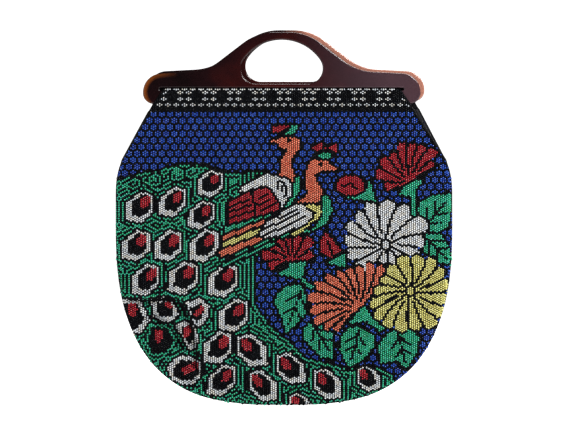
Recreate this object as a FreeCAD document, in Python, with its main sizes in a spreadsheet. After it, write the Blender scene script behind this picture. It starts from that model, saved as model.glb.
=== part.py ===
import FreeCAD, Part
import Sketcher

import math
import os

from FreeCAD import Placement, Rotation, Vector

# A beaded handbag that hangs from two moulded handles. Units are millimetres and degrees.
# +Z is up, +X is to the right seen from the front, and the front faces -Y.
# The origin is midway between the undersides of the two grips, where a hand or a hook carries the bag.

SIZES = {
    # handle moulding
    "handle_length": 318.0,
    "handle_thickness": 7.0,
    "grip_height": 8.4,
    "grip_flat_half": 8.0,
    "grip_arch_radius": 60.0,
    "slope_angle": 37.5,
    "shoulder_blend_radius": 59.0,
    "shoulder_angle": 3.0,
    "shoulder_drop": 38.8,
    "lobe_top_radius": 21.5,
    "lobe_base_radius": 12.0,
    "hole_height": 51.0,
    "hole_arch_radius": 53.5,
    "hole_corner_radius": 18.0,
    "sill_height": 4.4,
    "slot_height": 3.0,
    "slot_end": 19.0,
    "bar_height": 15.1,
    "handle_edge_radius": 1.6,
    # how the two handles lie against each other
    "handle_shift": 2.6,
    "handle_lift": 1.75,
    # cloth
    "cloth_thickness": 2.2,
    "lining_thickness": 0.8,
    "lining_gap": 0.2,
    "fit_clearance": 0.15,
    "fold_gap": 0.4,
    # header sleeve round the bar
    "sleeve_play": 4.0,
    "sleeve_spread": 17.5,
    "sleeve_flare": 4.0,
    "sleeve_gap": 0.7,
    "tab_height": 9.0,
    "stitch_radius": 0.5,
    "stitch_pitch": 8.0,
    "stitch_drop": 3.2,
    "stitch_knot": 0.4,
    # flaps between the headers and the ends of the side slits
    "flap_height": 55.75,
    "binding_radius": 1.6,
    "binding_inset": 1.5,
    # pouch below the slits
    "pouch_half_width": 193.5,
    "shoulder_inset": 7.0,
    "pouch_side_height": 75.0,
    "pouch_base_height": 206.0,
    "side_power": 3.0,
    "base_power": 2.5,
    "mouth_bulge": 8.0,
    "belly_bulge": 15.0,
    "belly_drop": 140.0,
    "seam_width": 6.0,
    "seam_thickness": 0.9,
    "seam_gap": 0.05,
    "tack_length": 6.0,
    "tack_height": 1.6,
    "tack_inset": 2.5,
}

FRONT = -1
REAR = 1

os.makedirs("parts", exist_ok=True)
doc = FreeCAD.newDocument("beaded_handbag")
sheet = doc.addObject("Spreadsheet::Sheet", "sizes")
for row, (word, value) in enumerate(SIZES.items(), start=1):
    sheet.set(f"A{row}", word)
    sheet.set(f"B{row}", str(value))
    sheet.setAlias(f"B{row}", word)
doc.recompute()


def size(word):
    """The number in the sheet's cell of that name."""
    return float(sheet.get(word))


def bind(feature, prop, formula):
    """Ties a feature's property to a formula of the sheet's names, each written as its bare word."""
    for word in sorted(SIZES, key=len, reverse=True):
        formula = formula.replace("{" + word + "}", "sizes." + word)
    feature.setExpression(prop, formula)


# ---- sizes that follow from the named ones


def slot_drop():
    """From the underside of the grip down to the lower edge of the slot."""
    return size("hole_height") + size("sill_height") + size("slot_height")


def bar_drop():
    """From the underside of the grip down to the lower edge of the bar."""
    return slot_drop() + size("bar_height")


def tab_drop():
    """From the underside of the grip down to the lower edge of the sleeve's stitched tab."""
    return bar_drop() + size("tab_height")


def slot_half():
    """Half the length of the slot."""
    return size("handle_length") / 2 - size("slot_end")


def sleeve_half(foot):
    """Half the sleeve's width, in the slot or at its foot."""
    return slot_half() - size("sleeve_play") + (size("sleeve_spread") if foot else 0)


def handle_depth():
    """From the bag's middle plane to the middle of a handle, with both sleeves' inner layers between."""
    between = 2 * (size("cloth_thickness") + size("fit_clearance")) + size("sleeve_gap")
    return (size("handle_thickness") + between) / 2


def tab_face():
    """From the middle plane to the outer face of a sleeve's tab."""
    return handle_depth() + size("cloth_thickness")


def slit_drop():
    """From the origin down to the line between the bottom ends of the slits."""
    return tab_drop() + size("handle_lift") + size("flap_height")


def widest_drop():
    """From the origin down to the end of the pouch's upright sides."""
    return slit_drop() + size("pouch_side_height")


def pouch_head_half():
    """Half the pouch's width at the slit line."""
    return size("pouch_half_width") - size("shoulder_inset")


def lining_span():
    """How far inside a cloth's outer face the lining's own two faces lie."""
    near = size("cloth_thickness") + size("lining_gap")
    return near, near + size("lining_thickness")


def edge_depth():
    """From the middle plane to the outer face of the cloth where both sides are sewn to the seam tape."""
    return lining_span()[1] + size("seam_thickness") / 2 + size("seam_gap")


# ---- sketch helpers


def origin_plane(body, role):
    """One of a body's own origin planes."""
    return next(f for f in body.Origin.OriginFeatures if f.Role == role)


def new_sketch(body, name, role):
    """An empty sketch on one of the body's own planes."""
    sketch = body.newObject("Sketcher::SketchObject", name)
    sketch.AttachmentSupport = [(origin_plane(body, role), "")]
    sketch.MapMode = "FlatFace"
    return sketch


def end_at(sketch, index, point):
    """Which end of a piece of sketch geometry lies at a point: 1 is its start and 2 its end."""
    return 1 if sketch.getPoint(index, 1).distanceToPoint(point) < 1e-6 else 2


def draw_loop(sketch, pieces):
    """Adds a closed run of lines and arcs, each end joined to the next, and binds the named radii.
    A piece is (its points, the sheet's name for its radius or None): two points make a line, three an arc."""
    indexes = []
    for points, radius_word in pieces:
        shape = Part.LineSegment(*points) if len(points) == 2 else Part.Arc(*points)
        index = sketch.addGeometry(shape, False)
        indexes.append(index)
        if radius_word:
            rule = sketch.addConstraint(Sketcher.Constraint("Radius", index, size(radius_word)))
            sketch.setExpression(f"Constraints[{rule}]", "sizes." + radius_word)
    for i, (points, radius_word) in enumerate(pieces):
        here, there = indexes[i], indexes[(i + 1) % len(pieces)]
        joint = points[-1]
        ends = (here, end_at(sketch, here, joint), there, end_at(sketch, there, joint))
        sketch.addConstraint(Sketcher.Constraint("Coincident", *ends))


def polygon(points):
    """The sides of a closed polygon, as pieces for draw_loop."""
    return [((a, b), None) for a, b in zip(points, points[1:] + points[:1])]


def mirrored(pieces):
    """The same run of pieces on the other side of the vertical axis, taken in the opposite order."""
    flip = [(tuple(Vector(-p.x, p.y, 0) for p in reversed(points)), word) for points, word in pieces]
    return flip[::-1]


def arc_points(start, heading, radius, turn):
    """Start, middle and end of an arc that leaves start at a heading and turns left by turn degrees."""
    side = math.copysign(1, turn)
    angle = math.radians(heading)
    centre = start + Vector(-math.sin(angle), math.cos(angle), 0) * (side * radius)
    spoke = start - centre
    halfway = Rotation(Vector(0, 0, 1), turn / 2).multVec(spoke)
    whole = Rotation(Vector(0, 0, 1), turn).multVec(spoke)
    return start, centre + halfway, centre + whole


def run(start, heading, length):
    """The end of a straight line from start at a heading in degrees."""
    angle = math.radians(heading)
    return start + Vector(math.cos(angle), math.sin(angle), 0) * length


# ---- handle moulding


def handle_outline():
    """The outside of the moulding: a grip arch, straight slopes, long shoulders and rounded end lobes.
    The slopes and shoulders are as long as they must be for the run to reach the lobes."""
    slope, shoulder = size("slope_angle"), size("shoulder_angle")
    blend, lobe = size("shoulder_blend_radius"), size("lobe_top_radius")
    sine = {a: math.sin(math.radians(a)) for a in (slope, shoulder)}
    cosine = {a: math.cos(math.radians(a)) for a in (slope, shoulder)}
    fall = math.sin(math.radians(slope - shoulder))
    base = -bar_drop()
    crown = Vector(size("grip_flat_half"), size("grip_height"), 0)
    arch = arc_points(crown, 0, size("grip_arch_radius"), -slope)
    lobe_start = Vector(size("handle_length") / 2 - lobe * (1 - sine[shoulder]), -size("shoulder_drop"), 0)
    across = lobe_start.x - arch[2].x - blend * (sine[slope] - sine[shoulder])
    down = arch[2].y - lobe_start.y + blend * (cosine[slope] - cosine[shoulder])
    slope_length = (down * cosine[shoulder] - across * sine[shoulder]) / fall
    slope_end = run(arch[2], -slope, slope_length)
    dip = arc_points(slope_end, -slope, blend, slope - shoulder)
    lobe_top = arc_points(lobe_start, -shoulder, lobe, shoulder - 90)
    lobe_foot = Vector(lobe_top[2].x, base + size("lobe_base_radius"), 0)
    lobe_base = arc_points(lobe_foot, -90, size("lobe_base_radius"), -90)
    right = [
        (arch, "grip_arch_radius"),
        ((arch[2], slope_end), None),
        (dip, "shoulder_blend_radius"),
        ((dip[2], lobe_start), None),
        (lobe_top, "lobe_top_radius"),
        ((lobe_top[2], lobe_foot), None),
        (lobe_base, "lobe_base_radius"),
    ]
    left = mirrored(right)
    base_line = ((right[-1][0][-1], left[0][0][0]), None)
    crown_line = ((left[-1][0][-1], right[0][0][0]), None)
    return right + [base_line] + left + [crown_line]


def hand_hole():
    """The D-shaped hand hole: one wide arch that runs into two corner arcs, and a flat sill."""
    arch, corner, height = size("hole_arch_radius"), size("hole_corner_radius"), size("hole_height")
    rise = arch - (height - corner)
    offset = math.sqrt((arch - corner) ** 2 - rise**2)
    corner_centre = Vector(offset, corner - height, 0)
    outward = Vector(offset, rise, 0).normalize()
    meet = corner_centre + outward * corner
    halfway = corner_centre + Rotation(Vector(0, 0, 1), -45).multVec(outward) * corner
    foot = corner_centre - Vector(0, corner, 0)
    right = [((meet, halfway, foot), "hole_corner_radius")]
    left = mirrored(right)
    sill = ((foot, left[0][0][0]), None)
    top = ((left[0][0][-1], Vector(0, 0, 0), meet), "hole_arch_radius")
    return right + [sill] + left + [top]


def bar_slot():
    """The long slot over the lower bar, with half-round ends."""
    radius = size("slot_height") / 2
    low, high = -slot_drop(), size("slot_height") - slot_drop()
    reach = slot_half() - radius
    end = (Vector(reach, high, 0), Vector(reach + radius, low + radius, 0), Vector(reach, low, 0))
    right = [(end, None)]
    left = mirrored(right)
    return right + [((end[2], left[0][0][0]), None)] + left + [((left[0][0][-1], end[0]), None)]


def rim_edges(shape, half_thickness):
    """Names of the edges that lie in the two faces of a slab which is centred on its XZ plane."""
    names = []
    for number, edge in enumerate(shape.Edges, start=1):
        box = edge.BoundBox
        flat = box.YLength < 1e-6
        if flat and abs(abs(box.YMin) - half_thickness) < 1e-6:
            names.append(f"Edge{number}")
    return names


def add_handle(label, place):
    """One moulding: a slab with its hand hole and slot, and every rim rounded."""
    body = doc.addObject("PartDesign::Body", label)
    outline = new_sketch(body, label + "_outline", "XZ_Plane")
    draw_loop(outline, handle_outline())
    draw_loop(outline, hand_hole())
    draw_loop(outline, bar_slot())
    slab = body.newObject("PartDesign::Pad", label + "_slab")
    slab.Profile = outline
    slab.SideType = "Symmetric"
    bind(slab, "Length", "{handle_thickness} * 1mm")
    outline.Visibility = False
    doc.recompute()
    rounding = body.newObject("PartDesign::Fillet", label + "_rounding")
    rounding.Base = (slab, rim_edges(slab.Shape, size("handle_thickness") / 2))
    bind(rounding, "Radius", "min({handle_edge_radius}; 0.4 * {sill_height}) * 1mm")
    body.Placement = place
    return body


def handle_place(side):
    """Where a handle lies: side by side with the other, one a little higher and to the right."""
    offset = Vector(size("handle_shift"), handle_depth(), size("handle_lift"))
    return Placement(offset * side, Rotation())


# ---- header sleeve


def sleeve_section():
    """Outer and inner outline of the sleeve across the bar. The inner one clears the bar, and the outer one
    closes under it into a tab that is two cloths thick."""
    cloth, gap = size("cloth_thickness"), size("fit_clearance")
    bar_half = size("handle_thickness") / 2 + gap
    top, bottom = gap - slot_drop(), -bar_drop() - gap
    corner = size("handle_edge_radius")
    half, flare = bar_half + cloth, size("sleeve_flare")
    right = [
        Vector(cloth, -tab_drop(), 0),
        Vector(cloth, bottom - cloth, 0),
        Vector(half, bottom - cloth + flare, 0),
        Vector(half, top + cloth - corner, 0),
        Vector(half - corner, top + cloth, 0),
    ]
    outer = right + [Vector(-p.x, p.y, 0) for p in reversed(right)]
    cut = corner / 2
    inner_right = [
        Vector(bar_half - cut, bottom, 0),
        Vector(bar_half, bottom + cut, 0),
        Vector(bar_half, top - cut, 0),
        Vector(bar_half - cut, top, 0),
    ]
    inner = inner_right + [Vector(-p.x, p.y, 0) for p in reversed(inner_right)]
    return outer, inner


def slanted_ends():
    """The two triangles that trim the sleeve from its head width to its foot width."""
    high, low = size("fit_clearance") + size("cloth_thickness") - slot_drop(), -tab_drop()
    margin = 5.0
    lean = size("sleeve_spread") / (high - low)
    head, foot = sleeve_half(foot=False) - lean * margin, sleeve_half(foot=True) + lean * margin
    right = [Vector(head, high + margin, 0), Vector(foot, low - margin, 0)]
    right.append(Vector(foot + margin, low - margin, 0))
    right.append(Vector(foot + margin, high + margin, 0))
    return right, [Vector(-p.x, p.y, 0) for p in reversed(right)]


def add_sleeve(label, place):
    """The header sleeve: a band of cloth through the slot, round the bar and stitched to itself below."""
    body = doc.addObject("PartDesign::Body", label)
    section = new_sketch(body, label + "_section", "YZ_Plane")
    outer, inner = sleeve_section()
    draw_loop(section, polygon(outer))
    draw_loop(section, polygon(inner))
    band = body.newObject("PartDesign::Pad", label + "_band")
    band.Profile = section
    band.SideType = "Symmetric"
    bind(band, "Length", "({handle_length} - 2 * ({slot_end} + {sleeve_play} - {sleeve_spread})) * 1mm")
    doc.recompute()
    full = band.Shape.Volume
    ends = new_sketch(body, label + "_ends", "XZ_Plane")
    for triangle in slanted_ends():
        draw_loop(ends, polygon(triangle))
    trim = body.newObject("PartDesign::Pocket", label + "_trim")
    trim.Profile = ends
    trim.SideType = "Symmetric"
    bind(trim, "Length", "4 * ({handle_thickness} + {cloth_thickness}) * 1mm")
    doc.recompute()
    if trim.Shape.Volume > 0.99 * full:
        raise RuntimeError(label + ": the slanted ends were not trimmed")
    body.Placement = place
    return body


def add_stitches(label, place):
    """The row of thread that closes the tab under the bar: short pins of thread right through it."""
    count = 2 * int(sleeve_half(foot=False) / size("stitch_pitch") - 1) + 1
    drop = bar_drop() + size("stitch_drop")
    reach = size("cloth_thickness") + size("stitch_knot")
    threads = []
    for i in range(count):
        thread = doc.addObject("Part::Cylinder", f"{label}_{i + 1}")
        bind(thread, "Radius", "{stitch_radius} * 1mm")
        bind(thread, "Height", "2 * ({cloth_thickness} + {stitch_knot}) * 1mm")
        across = (i - (count - 1) / 2) * size("stitch_pitch")
        start = Vector(across, reach, -drop)
        thread.Placement = place * Placement(start, Rotation(Vector(1, 0, 0), 90))
        threads.append(thread)
    group = doc.addObject("Part::Compound", label)
    group.Links = threads
    return group


# ---- the hanging cloth, as layers between two smooth faces


def dome(x, z):
    """How much of the full bulge the pouch has at a point: 1 in the middle and 0 on its outline."""
    below = max(0.0, -z - widest_drop()) / size("pouch_base_height")
    return 1 - abs(x / size("pouch_half_width")) ** size("side_power") - below ** size("base_power")


def pouch_depth(x, z):
    """Distance of the pouch's outer face from the middle plane, which grows from the mouth to the belly."""
    share = min(1.0, max(0.0, (-z - slit_drop()) / size("belly_drop")))
    smooth = share * share * (3 - 2 * share)
    bulge = size("mouth_bulge") + (size("belly_bulge") - size("mouth_bulge")) * smooth
    return edge_depth() + bulge * dome(x, z)


def flap_depth(x, z, top):
    """Distance of a flap's outer face from the middle plane: flat at the header, domed at the slit line."""
    share = (z + slit_drop()) / (top + slit_drop())
    return (1 - share) * pouch_depth(x, -slit_drop()) + share * tab_face()


def layer(outline, side, depth, near, far):
    """The part of a layer of cloth within an outline, from near to far inside the outer face.
    depth(x, z) is the outer face's distance from the middle plane."""
    box = outline.BoundBox
    steps, margin, reach = 28, 12.0, 60.0
    xs = [box.XMin - margin + (box.XLength + 2 * margin) * i / steps for i in range(steps + 1)]
    zs = [box.ZMin - margin + (box.ZLength + 2 * margin) * i / steps for i in range(steps + 1)]
    slabs = []
    for inset in (near, far):
        grid = [[Vector(x, side * (depth(x, z) - inset), z) for z in zs] for x in xs]
        surface = Part.BSplineSurface()
        surface.interpolate(grid)
        slabs.append(surface.toShape().extrude(Vector(0, -side * reach, 0)))
    prism = Part.Face(outline).extrude(Vector(0, side * reach, 0))
    return prism.common(slabs[0]).cut(slabs[1]).removeSplitter()


def pouch_outline(inset=0.0):
    """The pouch seen from the front: square shoulders, upright sides and a superellipse for the base."""
    top = -slit_drop() - size("fold_gap") / 2 - inset
    head, half = pouch_head_half() - inset, size("pouch_half_width") - inset
    widest = -widest_drop()
    height = size("pouch_base_height") - inset
    shoulder_end = widest + size("pouch_side_height") / 2
    shoulder = Part.BSplineCurve()
    shoulder.interpolate(
        [Vector(head, 0, top), Vector(half, 0, shoulder_end)],
        InitialTangent=Vector(0.45, 0, -1),
        FinalTangent=Vector(0, 0, -1),
    )
    angles = [math.radians(a) for a in (0, 12, 24, 36, 48, 60, 72, 82, 90)]
    points = []
    for a in angles:
        x = half * math.cos(a) ** (2 / size("side_power"))
        z = widest - height * math.sin(a) ** (2 / size("base_power"))
        points.append(Vector(x, 0, z))
    base = Part.BSplineCurve()
    base.interpolate(points, InitialTangent=Vector(0, 0, -1), FinalTangent=Vector(-1, 0, 0))
    upright = Part.LineSegment(Vector(half, 0, shoulder_end), points[0])
    right = [shoulder.toShape(), upright.toShape(), base.toShape()]
    flip = FreeCAD.Matrix(-1, 0, 0, 0, 0, 1, 0, 0, 0, 0, 1, 0, 0, 0, 0, 1)
    left = [edge.transformGeometry(flip) for edge in reversed(right)]
    across = Part.LineSegment(Vector(-head, 0, top), Vector(head, 0, top)).toShape()
    return Part.Wire(Part.__sortEdges__([across] + right + left))


def flap_top(side):
    """The height of a flap's upper edge, just under its sleeve's tab."""
    return side * size("handle_lift") - tab_drop() - size("fold_gap") / 2


def flap_span(side):
    """The heights of a flap's upper and lower edges."""
    return flap_top(side) - size("fold_gap") / 2, size("fold_gap") / 2 - slit_drop()


def slanted_edge(side, hand, z):
    """How far to the side a flap's slanted edge is at a height. Its head is centred under its own handle,
    and both its ends leave room for the binding."""
    top, foot = flap_span(side)
    room = 2 * size("binding_radius")
    head_x = side * size("handle_shift") + hand * (sleeve_half(foot=True) - room)
    foot_x = hand * (pouch_head_half() - room)
    share = (z - foot) / (top - foot)
    return foot_x + (head_x - foot_x) * share


def flap_outline(side, inset=0.0):
    """A flap seen from the front: a trapezoid from its sleeve's tab to the slit line."""
    top, foot = flap_span(side)
    high, low = top - inset, foot + inset
    corners = [(hand, z) for hand, z in ((-1, high), (1, high), (1, low), (-1, low))]
    points = [Vector(slanted_edge(side, hand, z) - hand * inset, 0, z) for hand, z in corners]
    return Part.makePolygon(points + points[:1])


def add_shape(label, shape):
    """A sub-part whose solid is set from Part's own functions."""
    feature = doc.addObject("Part::Feature", label)
    feature.Shape = shape
    return feature


def add_cloth(word, side):
    """One side of the bag: its panel, its flap, and the lining behind each."""
    top = flap_top(side)
    cloth = size("cloth_thickness")
    inset = size("fold_gap")

    def flap_face(x, z):
        return flap_depth(x, z, top)

    add_shape(word + "_panel", layer(pouch_outline(), side, pouch_depth, 0, cloth))
    add_shape(word + "_lining", layer(pouch_outline(inset), side, pouch_depth, *lining_span()))
    add_shape(word + "_flap_cloth", layer(flap_outline(side), side, flap_face, 0, cloth))
    add_shape(word + "_flap_lining", layer(flap_outline(side, inset), side, flap_face, *lining_span()))
    return [word + tail for tail in ("_panel", "_lining", "_flap_cloth", "_flap_lining")]


def add_binding(label, side, hand):
    """The piping along one slanted edge of a flap: a straight cord just outside the cloth's edge."""
    radius, inset = size("binding_radius"), size("binding_inset")
    half_layers = lining_span()[1] / 2
    head_z, foot_z = flap_top(side) - inset, inset - slit_drop()
    head_x, foot_x = slanted_edge(side, hand, head_z), slanted_edge(side, hand, foot_z)
    slant = math.hypot(1, (foot_x - head_x) / (head_z - foot_z))
    outset = hand * (radius + size("fit_clearance")) * slant
    head = Vector(head_x + outset, side * (tab_face() - half_layers), head_z)
    foot = Vector(foot_x + outset, side * (edge_depth() - half_layers), foot_z)
    cord = doc.addObject("Part::Cylinder", label)
    bind(cord, "Radius", "{binding_radius} * 1mm")
    cord.Height = (head - foot).Length
    cord.Placement = Placement(foot, Rotation(Vector(0, 0, 1), head - foot))
    return cord


def add_seam(label):
    """The tape down both sides and round the base that the two panels are sewn to."""
    width, thickness = size("seam_width"), size("seam_thickness")
    outer = Part.Face(pouch_outline())
    inner = Part.Face(pouch_outline(width))
    up = Vector(0, 0, 2 * width)
    start = Vector(0, -thickness / 2, 0)
    ring = outer.extrude(Vector(0, thickness, 0))
    middle = inner.extrude(Vector(0, thickness, 0))
    mouth = middle.copy()
    mouth.translate(up)
    tape = ring.cut(middle).cut(mouth)
    tape.translate(start)
    return add_shape(label, tape)


def add_tack(label, hand):
    """The bar of close stitching through both sides of the bag at the bottom end of one slit."""
    inset, length = size("tack_inset"), size("tack_length")
    inner = pouch_head_half() - inset - length
    top = -slit_drop() - size("fold_gap") / 2 - inset
    reach = pouch_depth(inner, top) + size("stitch_knot")
    tack = doc.addObject("Part::Box", label)
    bind(tack, "Length", "{tack_length} * 1mm")
    bind(tack, "Height", "{tack_height} * 1mm")
    tack.Width = 2 * reach
    across = inner if hand > 0 else -inner - length
    tack.Placement = Placement(Vector(across, -reach, top - size("tack_height")), Rotation())
    return tack


parts = []
for word, side in (("front", FRONT), ("rear", REAR)):
    place = handle_place(side)
    add_handle(word + "_handle", place)
    add_sleeve(word + "_header_sleeve", place)
    add_stitches(word + "_sleeve_stitches", place)
    parts += [word + tail for tail in ("_handle", "_header_sleeve", "_sleeve_stitches")]
    parts += add_cloth(word, side)
    for hand_word, hand in (("left", -1), ("right", 1)):
        add_binding(f"{word}_{hand_word}_binding", side, hand)
        parts.append(f"{word}_{hand_word}_binding")
add_seam("pouch_seam")
parts.append("pouch_seam")
for hand_word, hand in (("left", -1), ("right", 1)):
    add_tack(hand_word + "_bar_tack", hand)
    parts.append(hand_word + "_bar_tack")

doc.recompute()
failed = [o.Name for o in doc.Objects if {"Invalid", "Error"} & set(o.State)]
if failed:
    raise RuntimeError("failed objects: " + ", ".join(failed))
for name in parts:
    shape = doc.getObject(name).Shape
    if shape.isNull() or not shape.isValid() or not shape.Solids:
        raise RuntimeError(name + " has no valid solid")
for name in parts:
    doc.getObject(name).Shape.exportStep(f"parts/{name}.step")
    print(name, round(doc.getObject(name).Shape.Volume), len(doc.getObject(name).Shape.Solids))
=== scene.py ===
import math

import bpy
import numpy as np
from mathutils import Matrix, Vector


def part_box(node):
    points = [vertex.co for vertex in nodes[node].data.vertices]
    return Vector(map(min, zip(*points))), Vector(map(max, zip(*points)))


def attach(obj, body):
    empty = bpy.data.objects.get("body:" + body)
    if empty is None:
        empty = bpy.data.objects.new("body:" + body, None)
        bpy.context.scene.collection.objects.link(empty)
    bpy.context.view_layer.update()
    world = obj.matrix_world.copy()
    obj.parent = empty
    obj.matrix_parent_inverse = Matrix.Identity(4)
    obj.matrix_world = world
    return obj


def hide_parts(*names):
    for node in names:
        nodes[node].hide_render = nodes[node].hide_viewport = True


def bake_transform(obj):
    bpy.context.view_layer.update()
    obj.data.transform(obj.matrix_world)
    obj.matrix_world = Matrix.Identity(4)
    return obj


# Looks of a beaded handbag on two moulded handles. Lengths here are millimetres until a mesh is made.
# +Z is up, +X is to the right seen from the front, and the front faces -Y.

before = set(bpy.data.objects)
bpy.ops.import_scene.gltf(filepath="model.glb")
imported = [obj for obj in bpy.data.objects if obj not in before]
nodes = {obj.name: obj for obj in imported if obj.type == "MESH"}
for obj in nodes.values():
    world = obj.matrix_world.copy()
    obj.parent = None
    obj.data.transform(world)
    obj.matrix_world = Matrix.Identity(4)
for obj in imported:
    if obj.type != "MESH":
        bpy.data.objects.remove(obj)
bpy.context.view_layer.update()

MM = 0.001
FRONT, REAR = -1, 1
WORDS = {FRONT: "front", REAR: "rear"}


def corners(node):
    """Lowest and highest corner of a CAD node in millimetres."""
    low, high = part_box(node)
    return np.array(low) / MM, np.array(high) / MM


# ---- sizes, taken from the boxes of the parts

PANEL_LOW, PANEL_HIGH = corners("front_panel")
HALF = PANEL_HIGH[0]
SHOULDER_INSET = 7
HEAD_HALF = HALF - SHOULDER_INSET
SLIT = -round(PANEL_HIGH[2])
SIDE_HEIGHT = 75
WIDEST = SLIT + SIDE_HEIGHT
SHOULDER = SLIT + SIDE_HEIGHT / 2
BASE_HEIGHT = -PANEL_LOW[2] - WIDEST
FLAP_TOP = {side: corners(WORDS[side] + "_flap_cloth")[1][2] + 0.2 for side in WORDS}

# the pouch: the powers of its outline, its depth at the edge, and its dome's height at mouth and belly
SIDE_POWER = 3.0
BASE_POWER = 2.5
EDGE_DEPTH = 3.7
MOUTH_BULGE = 8
BELLY_BULGE = 15
BELLY_DROP = 140

# the last few millimetres of cloth turn round the pouch's edge, more and more over a run below the slits
EDGE_TURN = 5.0
EDGE_RUN = 14

# how each handle lies off the middle: outwards, to its side and up
HANDLE_DEPTH = 6.2
HANDLE_SHIFT = 2.6
HANDLE_LIFT = 1.75

# header sleeve: half its width in the slot, how far it spreads by its foot, its crest and foot under the grip,
# its face's distance from the middle plane, and how far below the foot its path starts
SLEEVE_HALF = 136.0
SLEEVE_SPREAD = 17.5
CREST_DROP = 56.05
TAB_DROP = 82.5
TAB_FACE = 8.4
SLEEVE_LEAD = 3.5

# cloths under the beads' outer face, and the strip at a flap's head that is made as pieces of its own
NET_DEPTH = 1.35
LINING_DEPTH = 2.4
SHEET_THICKNESS = 0.8
HEAD_STRIP = 16
HEADER_OVERLAP = 0.9

PIPING_ROOM = 1.3
PIPING_RADIUS = 1.25
PIPING_TAIL = 7.5

# beads
COLUMN = 2.375
ROW = 2.52
BEAD_DEPTH = 2.1


def smooth(t):
    """0 below 0, 1 above 1 and an even S curve between."""
    t = np.clip(t, 0.0, 1.0)
    return t * t * (3 - 2 * t)


def line_distance(x, z, start, end):
    """Distance to one straight line: to the nearest place along it, held between its ends."""
    (ax, az), (bx, bz) = start, end
    along = np.clip(((x - ax) * (bx - ax) + (z - az) * (bz - az)) / ((bx - ax) ** 2 + (bz - az) ** 2), 0, 1)
    return np.hypot(x - ax - along * (bx - ax), z - az - along * (bz - az))


def polygon_distance(x, z, points):
    """Distance to a closed polygon's sides, below 0 inside by the even-odd rule."""
    corner = np.array(points, float)
    after = np.roll(corner, -1, axis=0)
    best = np.full(x.shape, 1e9)
    inside = np.zeros(x.shape, bool)
    for (ax, az), (bx, bz) in zip(corner, after):
        best = np.minimum(best, line_distance(x, z, (ax, az), (bx, bz)))
        if az != bz:
            crossing = (az > z) != (bz > z)
            inside ^= crossing & (x < ax + (z - az) / (bz - az) * (bx - ax))
    return np.where(inside, -best, best)


def stroke_distance(x, z, points):
    """Distance to an open run of straight lines."""
    best = np.full(x.shape, 1e9)
    for start, end in zip(points[:-1], points[1:]):
        best = np.minimum(best, line_distance(x, z, start, end))
    return best


# ---- the hanging cloth: one smooth face for each side of the bag


def half_width(z):
    """Half the pouch's width at a height: it leans out below the slits, stands upright, and closes as a
    superellipse."""
    below = np.clip((-z - WIDEST) / BASE_HEIGHT, 0, 1)
    lean = np.clip((-z - SLIT) / (SHOULDER - SLIT), 0, 1)
    upper = HALF - (HALF - HEAD_HALF) * (1 - lean) ** 2
    return np.where(-z > SHOULDER, HALF * (1 - below**BASE_POWER) ** (1 / SIDE_POWER), upper)


def pouch_depth(x, z):
    """Distance of the outer face from the middle plane: a dome that deepens from mouth to belly."""
    below = np.clip((-z - WIDEST) / BASE_HEIGHT, 0, 1.2)
    dome = 1 - np.abs(x / HALF) ** SIDE_POWER - below**BASE_POWER
    bulge = MOUTH_BULGE + (BELLY_BULGE - MOUTH_BULGE) * smooth((-z - SLIT) / BELLY_DROP)
    return EDGE_DEPTH + bulge * np.maximum(dome, 0)


def flap_depth(x, z, top):
    """Distance of a flap's face from the middle plane: straight from domed slit line to flat header."""
    share = np.clip((z + SLIT) / (top + SLIT), 0, 1)
    return (1 - share) * pouch_depth(x, np.full_like(z, -SLIT)) + share * TAB_FACE


# the crumpled patch near the lower left: its outline, the fold line the cloth laps over, the hollow under it,
# and the two puffs that stand up beside the hollow
CRUMPLE = [
    (-200, -298), (-156, -300), (-137, -297), (-115, -303), (-105, -328), (-101, -346), (-98, -384),
    (-115, -366), (-135, -361), (-156, -345), (-200, -335),
]
FOLD = [(-190, -297), (-156, -300), (-137, -296), (-113, -302), (-103, -328), (-99, -345), (-96, -384)]
HOLLOW = [(-153, -320), (-142, -328), (-126, -333), (-117, -358)]
# each puff: its middle, its reach and its height
PUFFS = [(-136, -311, 12, 3.2), (-110, -341, 9, 3.2), (-172, -316, 10, 1.5), (-142, -347, 9, 1.0)]
# the lap starts over this many millimetres, and the cloth keeps this much room above the middle plane
LAP_RUN = 5.5
CLEAR_OF_MIDDLE = 3.9


def slack(x, z, side):
    """How far the cloth sinks in soft waves, and on the front in the crumpled patch near the lower left, where
    it laps over a sharp fold, sinks into a hollow and puffs up beside it. It never sinks past the middle of
    the bag."""
    sunk = 0.5 + 0.5 * np.sin(x / 31 + z / 47) * np.sin(z / 38 - x / 63)
    if side == REAR:
        return sunk
    near = (x < -70) & (z < -270) & (z > -400)
    px, pz = x[near], z[near]
    inside = polygon_distance(px, pz, CRUMPLE)
    fold = stroke_distance(px, pz, FOLD)
    drop = smooth(0.5 - inside / LAP_RUN) * 4.6 * np.exp(-fold / 18)
    lift = 3.6 * np.exp(-((fold - 2.5) / 7.0) ** 2) * smooth(0.5 + inside / LAP_RUN)
    hollow = 5.5 * np.exp(-(stroke_distance(px, pz, HOLLOW) / 5.0) ** 2)
    crease = 0.6 * np.sin(px / 3.9 - pz / 5.6) * np.exp(-fold / 16) * (inside < 0)
    for cx, cz, reach, height in PUFFS:
        lift = lift + height * np.exp(-(((px - cx) ** 2 + (pz - cz) ** 2) / reach**2) ** 2)
    edge = smooth((half_width(pz) - np.abs(px)) / EDGE_RUN)
    room = pouch_depth(px, pz) - CLEAR_OF_MIDDLE - sunk[near]
    sunk[near] += np.minimum((drop + hollow + crease - lift) * edge, np.maximum(room, 0))
    return sunk


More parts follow.
